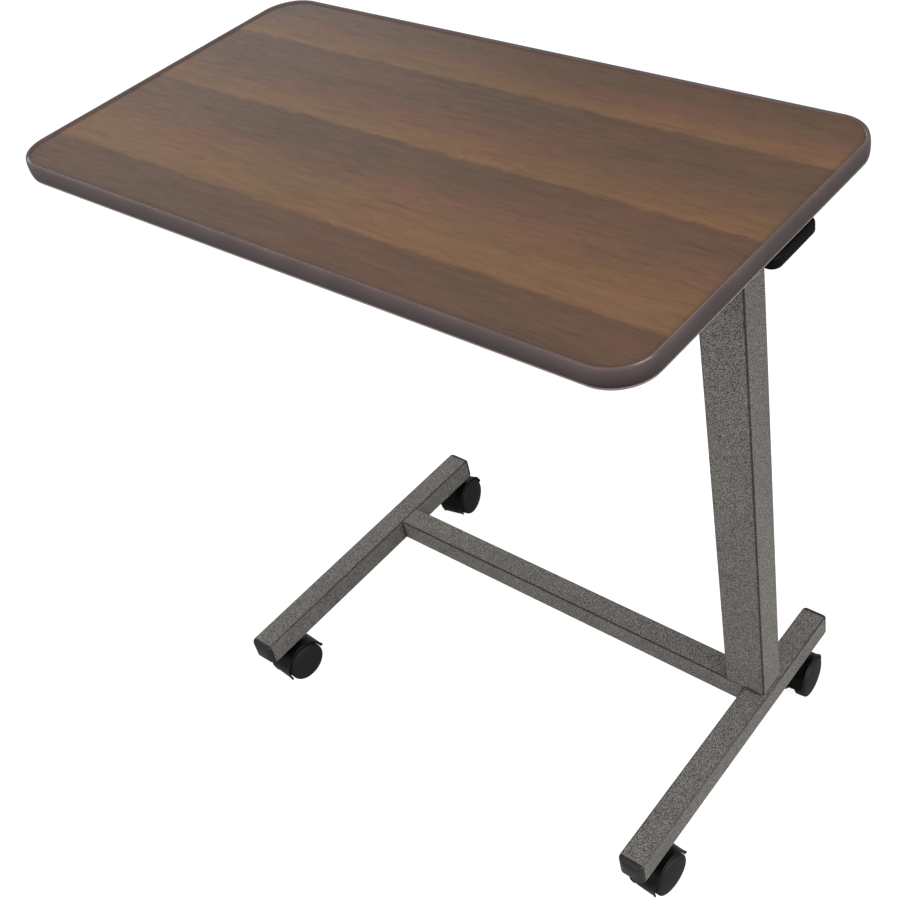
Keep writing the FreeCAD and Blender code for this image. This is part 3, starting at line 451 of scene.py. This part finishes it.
def weld_beads():
    """Welds where the rail meets both legs and where the column stands on the leg and the rail."""
    x, y, z = (Vector(axis) for axis in ((1, 0, 0), (0, 1, 0), (0, 0, 1)))
    low, high = (Vector(corner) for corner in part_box("cross_rail"))
    column_low, column_high = (Vector(corner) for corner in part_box("outer_column"))
    leg_high = Vector(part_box("right_leg")[1])
    size, inset = 2.6 * MM, 2.5 * MM
    upright, depth = high.z - low.z - 2 * inset, column_high.y - column_low.y - 2 * inset
    # Each run: its start, the directions of its two walls, the direction it goes, and its length.
    runs = []
    for wall_x, inward in ((low.x, x), (high.x, -x)):
        for side_y, outward in ((low.y, -y), (high.y, y)):
            runs.append((Vector((wall_x, side_y, low.z + inset)), inward, outward, z, upright))
    across = column_high.x - inset - high.x
    for side_y, outward in ((column_low.y, -y), (column_high.y, y)):
        runs.append((Vector((high.x + inset, side_y, high.z)), outward, z, x, across - inset))
    left_start = Vector((column_low.x, column_low.y + inset, high.z))
    runs.append((left_start, -x, z, y, high.y - low.y - 2 * inset))
    vertices, faces = [], []
    for seed, run in enumerate(runs):
        points, sides = loft(weld_run(*run, size, seed), first=len(vertices))
        vertices += points
        faces += sides
    right_start = Vector((column_high.x, column_low.y + inset, high.z))
    right_run = weld_run(right_start, x, z, y, depth, size=leg_high.x - inset - column_high.x, seed=9)
    points, sides = loft(right_run, first=len(vertices))
    piece("weld_beads", vertices + points, faces + sides, "frame_paint", "base", ["base_welds"], crease=60)


def cross_recess(x, y):
    """How deep the driver's cross is at a point of a screw's head, in shares of its depth."""
    reach, half_width = 2.3, 0.55
    arms = [max(0.0, 1 - max(abs(along) / reach, abs(across) / half_width) ** 6)
            for along, across in ((x, y), (y, x))]
    return min(1.0, 1.4 * max(arms))


def screw(seat, first):
    """A pan-head wood screw, head down: a threaded shank above its seat and a crossed head below."""
    segments, pitch, shank, thread, ring_gap = 48, 1.6, 1.95, 0.28, 0.4
    tip = [(0.15, 14.0), (1.5, 12.0), (2.0, 10.8)]
    head = [(2.1, 0.0), (4.3, 0.0), (4.5, -0.35), (4.45, -1.1), (4.1, -1.9), (3.4, -2.5), (2.7, -2.78)]
    face = [2.5, 2.3, 2.1, 1.85, 1.6, 1.35, 1.1, 0.9, 0.75, 0.6, 0.45, 0.3, 0.12]
    turns = [math.tau * step / segments for step in range(segments)]
    rings = [[pair] * segments for pair in tip]
    height = 10.6
    while height > ring_gap:
        rings.append([(shank + thread * math.cos(math.tau * (height / pitch - step / segments)), height)
                      for step in range(segments)])
        height -= ring_gap
    rings += [[pair] * segments for pair in head]
    points = [[seat + MM * Vector((radius * math.cos(turn), radius * math.sin(turn), height))
               for turn, (radius, height) in zip(turns, ring)] for ring in rings]
    for radius in face:
        dome = -2.85 - 0.1 * (1 - radius / 2.7)
        flat = [(radius * math.cos(turn), radius * math.sin(turn)) for turn in turns]
        points.append([seat + MM * Vector((x, y, dome + 1.5 * cross_recess(x, y))) for x, y in flat])
    return loft(points, first=first)


def support_screws():
    """Six screws that hold the two support rails to the board."""
    left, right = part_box("front_support_rail")
    end_gap, rail_wall = 40 * MM, 2 * MM
    middle, reach = (left[0] + right[0]) / 2, (right[0] - left[0]) / 2 - end_gap
    vertices, faces = [], []
    for rail in ("front_support_rail", "rear_support_rail"):
        low, high = (Vector(corner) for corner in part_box(rail))
        for share in (-1, 0, 1):
            seat = Vector((middle + share * reach, (low.y + high.y) / 2, high.z - rail_wall))
            points, sides = screw(seat, len(vertices))
            vertices += points
            faces += sides
    piece("cross_head_screws", vertices, faces, "zinc_steel", "top", ["support_screws"], crease=40)


weld_beads()
support_screws()


# ---------------------------------------------------------------- the release paddle and its spring


def release_paddle():
    """A full-round paddle under the tabletop's edge, with soft edges above and below."""
    low, high = (Vector(point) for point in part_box("lever_grip"))
    low += Vector((0.6, -2.5, -1.2)) * MM
    high += Vector((0.6, 0.5, 0.0)) * MM
    half = (high - low) / 2
    flat_end, height, soft = 0.3 * MM, high.z - low.z, 4.2 * MM
    outline = rounded_outline(half.x, half.y, half.x - flat_end, arc_steps=14, run=6 * MM)
    arc_steps = 8
    arc = [math.radians(90 * step / arc_steps) for step in range(arc_steps + 1)]
    profile = [(soft * (1 - math.sin(a)), soft * (1 - math.cos(a))) for a in arc]
    profile += [(inset, height - rise) for inset, rise in reversed(profile)]
    rings = []
    for inset, rise in profile:
        rings.append([Vector((low.x + half.x + point.x - out.x * inset,
                              low.y + half.y + point.y - out.y * inset,
                              low.z + rise)) for point, out in outline])
    vertices, faces = loft(rings)
    piece("release_paddle", vertices, faces, "grip_plastic", "release_lever", ["lever_grip"], crease=50)


def return_spring():
    """The coil under the lever's arm, with its ends lying flat, built at one length."""
    low, high = (Vector(point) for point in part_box("lever_return_spring"))
    middle, wire = (low + high) / 2, 0.55 * MM
    radius, climb = (high.x - low.x) / 2 - wire, high.z - low.z - 2 * wire
    turns, flat, steps, sides = 4.4, 0.35, 30, 10
    rings = []
    for step in range(round(turns * steps) + 1):
        turn = step / steps
        share = min(1.0, max(0.0, (turn - flat) / (turns - 2 * flat)))
        out = Vector((math.cos(math.tau * turn), math.sin(math.tau * turn), 0))
        centre = Vector((middle.x, middle.y, low.z + wire + climb * share)) + out * radius
        rings.append([centre + wire * (math.cos(math.tau * side / sides) * out
                                       + math.sin(math.tau * side / sides) * Vector((0, 0, 1)))
                      for side in range(sides)])
    vertices, faces = loft(rings)
    made = piece("return_spring_coil", vertices, faces, "zinc_steel", "top", ["lever_return_spring"],
                 crease=60)
    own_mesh(made)


release_paddle()
return_spring()


# ---------------------------------------------------------------- the legs' end caps

CAP_RISE = 6 * MM


def end_plug(corner):
    """A moulded plug: a hollow stub in the tube, a flange over its end and a pillow-shaped face."""
    low, high = (Vector(point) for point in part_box(f"{corner}_end_cap"))
    half = (high.x - low.x) / 2
    middle = (low + high) / 2
    outward, tube_end = (-1, low.y + CAP_RISE) if corner.startswith("front") else (1, high.y - CAP_RISE)
    outline = rounded_outline(half, half, 3.2 * MM, arc_steps=8, run=2.5 * MM)
    # Each pair is the inset from the tube's side and the distance out from its end, in millimetres.
    profile = [(3.0, 0.5), (3.0, -12.0), (1.6, -12.0), (1.6, -0.1), (0.35, -0.1), (0.3, 0.25), (-0.05, 0.6),
               (0.0, 1.5), (0.3, 2.6), (0.9, 3.7), (1.9, 4.8), (3.4, 5.8), (5.4, 6.6), (8.0, 7.2),
               (11.0, 7.5), (14.0, 7.6)]
    rings = []
    for inset, rise in profile:
        share, y = 1 - inset * MM / half, tube_end + outward * rise * MM
        rings.append([Vector((middle.x + point.x * share, y, middle.z + point.y * share))
                      for point, _ in outline])
    vertices, faces = loft(rings)
    piece(f"{corner}_end_plug", vertices, faces, "black_plastic", "base", [f"{corner}_end_cap"], crease=50)


for corner_name in CORNERS:
    end_plug(corner_name)


# ---------------------------------------------------------------- the casters

TURNS = {"front_left": -4, "front_right": -4, "rear_left": 12, "rear_right": 184}
TRAIL, WHEEL = 17 * MM, 25 * MM
HOOD_RADIUS, WEB_RADIUS = 28, 27 * MM
HOOD_START, HOOD_END, BEAK_SPAN = 8, 208, 16


def beak_share(angle):
    """How far the hood has turned into its beak at an angle: 1 at the lip and 0 past the beak."""
    return max(0.0, (HOOD_START + BEAK_SPAN - angle) / BEAK_SPAN)


def hood_half_width(angle):
    """Half the hood's width in millimetres: it narrows towards its tail and a little at its lip."""
    lip_end, tail_start = 30, 150
    lip = max(0.0, (lip_end - angle) / (lip_end - HOOD_START))
    tail = max(0.0, (angle - tail_start) / (HOOD_END - tail_start))
    return 18.2 - 3.2 * tail ** 1.6 - 1.0 * lip ** 2


def hood_section(angle):
    """Offsets across the hood and from its skin in millimetres, round the closed section at an angle."""
    half = hood_half_width(angle)
    skin = 2.1 + 2.2 * beak_share(angle) ** 1.5
    outer = [(-half, -skin * 0.6), (-half, 0.35), (-half + 0.5, 0.85), (-half + 1.3, 0.85),
             (-half + 2.1, 0.25), (-half + 3.2, 0.0), (-half * 0.5, 0.12), (0.0, 0.16)]
    outer += [(-across, rise) for across, rise in reversed(outer[:-1])]
    inner = [(half - 0.8, 0.1 - skin), (half * 0.5, -skin), (-half * 0.5, -skin), (-half + 0.8, 0.1 - skin)]
    return outer + inner


def hood_ring(angle, place):
    """The section at an angle about the axle, with the lip turned outwards into a beak and a rolled tail."""
    beak = beak_share(angle)
    tail = max(0.0, (angle - HOOD_END + 10) / 10)
    lip_edge, tail_edge = max(0.0, (HOOD_START + 4 - angle) / 4), max(0.0, (angle - HOOD_END + 3) / 3)
    pinch = 1 - 0.4 * lip_edge ** 2 - 0.3 * tail_edge ** 2
    turn = math.radians(angle)
    ring = []
    for across, rise in hood_section(angle):
        radius = (HOOD_RADIUS + (rise + 2) * pinch - 2 + 1.9 * beak ** 1.5 + 0.8 * tail ** 2) * MM
        y, z = TRAIL + radius * math.cos(turn), WHEEL + radius * math.sin(turn)
        ring.append(place @ Vector((across * MM, y, z)))
    return ring


def caster_hood(corner, place):
    """Hood, web between the wheels and stem boss, in one moulding."""
    steps, axle = 72, Vector((TRAIL, WHEEL))
    angles = [HOOD_START + (HOOD_END - HOOD_START) * step / steps for step in range(steps + 1)]
    vertices, faces = loft([hood_ring(angle, place) for angle in angles])
    arc = [math.radians(angle) for angle in range(10, 207, 4)]
    web_outline = [(TRAIL + WEB_RADIUS * math.cos(a), WHEEL + WEB_RADIUS * math.sin(a)) for a in arc]
    web_outline += [(TRAIL - 4 * MM, 15.5 * MM), (TRAIL, 14.5 * MM), (TRAIL + 5 * MM, 15.5 * MM)]
    rings = []
    for across, inset in ((-6.0, 0.6), (-5.7, 0.2), (-5.2, 0.0), (5.2, 0.0), (5.7, 0.2), (6.0, 0.6)):
        ring = []
        for y, z in web_outline:
            out = Vector((y, z)) - axle
            shrunk = axle + out * (1 - inset * MM / out.length)
            ring.append(place @ Vector((across * MM, shrunk.x, shrunk.y)))
        rings.append(ring)
    points, sides = loft(rings, first=len(vertices))
    vertices += points
    faces += sides
    boss = [(29.6, 4.06), (29.6, 6.2), (54.2, 6.2), (54.9, 5.9), (55.2, 5.3), (55.2, 4.06), (29.6, 4.06)]
    points, sides = turned_mesh([(height * MM, radius * MM) for height, radius in boss], place, 48)
    sides = [tuple(len(vertices) + index for index in side) for side in sides]
    piece(f"{corner}_hood", vertices + points, faces + sides, "hood_plastic", f"{corner}_caster",
          [f"{corner}_caster_body"], crease=42)


def caster_wheel(corner, side, place):
    """One of the twin wheels: a turned disc with a rim line, a crowned tread and a hollow inner face."""
    # Each pair is the distance outwards along the axle and the radius, in millimetres.
    profile = [(17.1, 0.0), (17.1, 3.05), (6.5, 3.05), (6.5, 7.6), (7.0, 8.0), (10.5, 8.4), (10.5, 19.6),
               (7.0, 20.2), (6.5, 20.8), (6.5, 23.6), (6.8, 24.3), (7.6, 24.8), (9.5, 24.95), (13.0, 25.0),
               (16.5, 24.95), (18.2, 24.85), (18.9, 24.55), (19.3, 24.1), (19.3, 23.8), (19.0, 23.6),
               (18.9, 23.4), (19.1, 23.25), (19.6, 22.9), (20.0, 22.0), (20.5, 19.5), (21.0, 16.0),
               (21.4, 12.0), (21.75, 8.0), (21.95, 4.0), (22.0, 0.0)]
    outward = {"right": 90, "left": -90}[side]
    axle = place @ Matrix.Translation((0, TRAIL, WHEEL)) @ Matrix.Rotation(math.radians(outward), 4, "Y")
    vertices, faces = turned_mesh([(height * MM, radius * MM) for height, radius in profile], axle, 96)
    piece(f"{corner}_{side}_wheel_disc", vertices, faces, "wheel_plastic", f"{corner}_{side}_wheel",
          [f"{corner}_caster_{side}_wheel"], crease=38)


def casters():
    """The four casters, each turned on its stem."""
    for corner in CORNERS:
        low, high = (Vector(point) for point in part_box(f"{corner}_caster_stem"))
        stem = (low + high) / 2
        place = Matrix.Translation((stem.x, stem.y, 0)) @ Matrix.Rotation(math.radians(TURNS[corner]), 4, "Z")
        caster_hood(corner, place)
        for side in ("left", "right"):
            caster_wheel(corner, side, place)


casters()


# ---------------------------------------------------------------- floor, light, camera


def floor():
    """A pale floor that the camera sees as white."""
    mesh = bpy.data.meshes.new("studio_floor")
    reach = 14.0
    square = [(-reach, -reach, 0), (reach, -reach, 0), (reach, reach, 0), (-reach, reach, 0)]
    mesh.from_pydata(square, [], [(0, 1, 2, 3)])
    skin = Surface("studio_floor", Roughness=0.9, Emission_Color=WHITE, Specular_IOR_Level=0.0)
    seen = skin.node("ShaderNodeLightPath").outputs["Is Camera Ray"]
    skin.set(Emission_Strength=skin.spread(seen, 0.0, 1.0, 0.05, 0.86))
    speckle = skin.noise(skin.place, scale=3.0, detail=2.0)
    skin.set(Base_Color=skin.ramp(speckle, [(0.3, 0.24), (0.7, 0.26)]))
    mesh.materials.append(skin.material)
    made = bpy.data.objects.new("studio_floor", mesh)
    bpy.context.scene.collection.objects.link(made)


def hang(data, place, target, power):
    """Puts a lamp at a place, aimed at a target and out of the camera's sight."""
    data.energy = power
    made = bpy.data.objects.new(data.name, data)
    made.location = place
    made.rotation_mode = "QUATERNION"
    made.rotation_quaternion = (Vector(target) - Vector(place)).to_track_quat("-Z", "Y")
    made.visible_camera = False
    bpy.context.scene.collection.objects.link(made)
    return made


def soft_light(name, place, target, size, power, mirrored=True):
    """A rectangular lamp; one that isn't mirrored leaves no highlight."""
    data = bpy.data.lights.new(name, "AREA")
    data.shape = "RECTANGLE"
    data.size, data.size_y = size
    hang(data, place, target, power).visible_glossy = mirrored


def spot_light(name, place, target, beam, power):
    """A soft-edged spot with a broad lamp."""
    data = bpy.data.lights.new(name, "SPOT")
    data.spot_size, data.spot_blend = math.radians(beam), 1.0
    data.shadow_soft_size = 0.25
    hang(data, place, target, power)


def studio():
    """An even room, greyer below than above and white to the camera, with the lamps around the table."""
    world = bpy.data.worlds.new("studio")
    bpy.context.scene.world = world
    world.use_nodes = True
    nodes, links = world.node_tree.nodes, world.node_tree.links
    height = nodes.new("ShaderNodeSeparateXYZ")
    links.new(nodes.new("ShaderNodeTexCoord").outputs["Generated"], height.inputs[0])
    sky = nodes.new("ShaderNodeValToRGB")
    sky.color_ramp.interpolation = "EASE"
    for element, (place, tone) in zip(sky.color_ramp.elements, ((0.0, 0.5), (1.0, 0.75))):
        element.position = place
        element.color = (tone, tone, tone, 1)
    links.new(height.outputs[2], sky.inputs[0])
    backdrop = nodes.new("ShaderNodeMix")
    backdrop.data_type = "RGBA"
    lit, seen = (socket for socket in backdrop.inputs if socket.type == "RGBA")
    links.new(nodes.new("ShaderNodeLightPath").outputs["Is Camera Ray"], backdrop.inputs[0])
    links.new(sky.outputs[0], lit)
    seen.default_value = WHITE
    result = next(socket for socket in backdrop.outputs if socket.type == "RGBA")
    links.new(result, nodes["Background"].inputs["Color"])
    table = (0.1, 0, 0.4)
    soft_light("back_light", (-2.3, 1.5, 1.35), (0, 0, 0.7), size=(1.5, 0.3), power=5.0)
    soft_light("front_light", (-0.2, -2.5, 1.3), table, size=(1.8, 1.2), power=60.0, mirrored=False)
    soft_light("front_glint", (-0.2, -2.5, 1.3), table, size=(0.9, 0.4), power=11.0)
    soft_light("right_light", (2.2, -0.1, 1.38), table, size=(1.4, 0.8), power=43.0)
    spot_light("side_light", (1.3, 0.2, 0.3), (0.34, -0.02, 0.08), beam=60, power=23.0)
    bpy.context.scene.view_settings.view_transform = "Standard"


def camera():
    """A 52 mm lens above the front right corner, slightly rolled, with the framing off the lens axis."""
    azimuth, elevation, roll = (math.radians(a) for a in (43.17, 41.86, 9.93))
    place = (0.83487, -0.72878, 1.29522)
    back = Vector((math.sin(azimuth) * math.cos(elevation), -math.cos(azimuth) * math.cos(elevation),
                   math.sin(elevation)))
    level = (-back).cross(Vector((0, 0, 1))).normalized()
    down = (-back).cross(level)
    right = math.cos(roll) * level + math.sin(roll) * down
    up = math.sin(roll) * level - math.cos(roll) * down
    data = bpy.data.cameras.new("camera")
    data.sensor_width = 36.0
    data.lens = 52.17
    data.shift_x, data.shift_y = -0.1368, 0.0016
    made = bpy.data.objects.new("camera", data)
    made.matrix_world = Matrix.Translation(place) @ Matrix((right, up, back)).transposed().to_4x4()
    bpy.context.scene.collection.objects.link(made)
    bpy.context.scene.camera = made


floor()
studio()
camera()
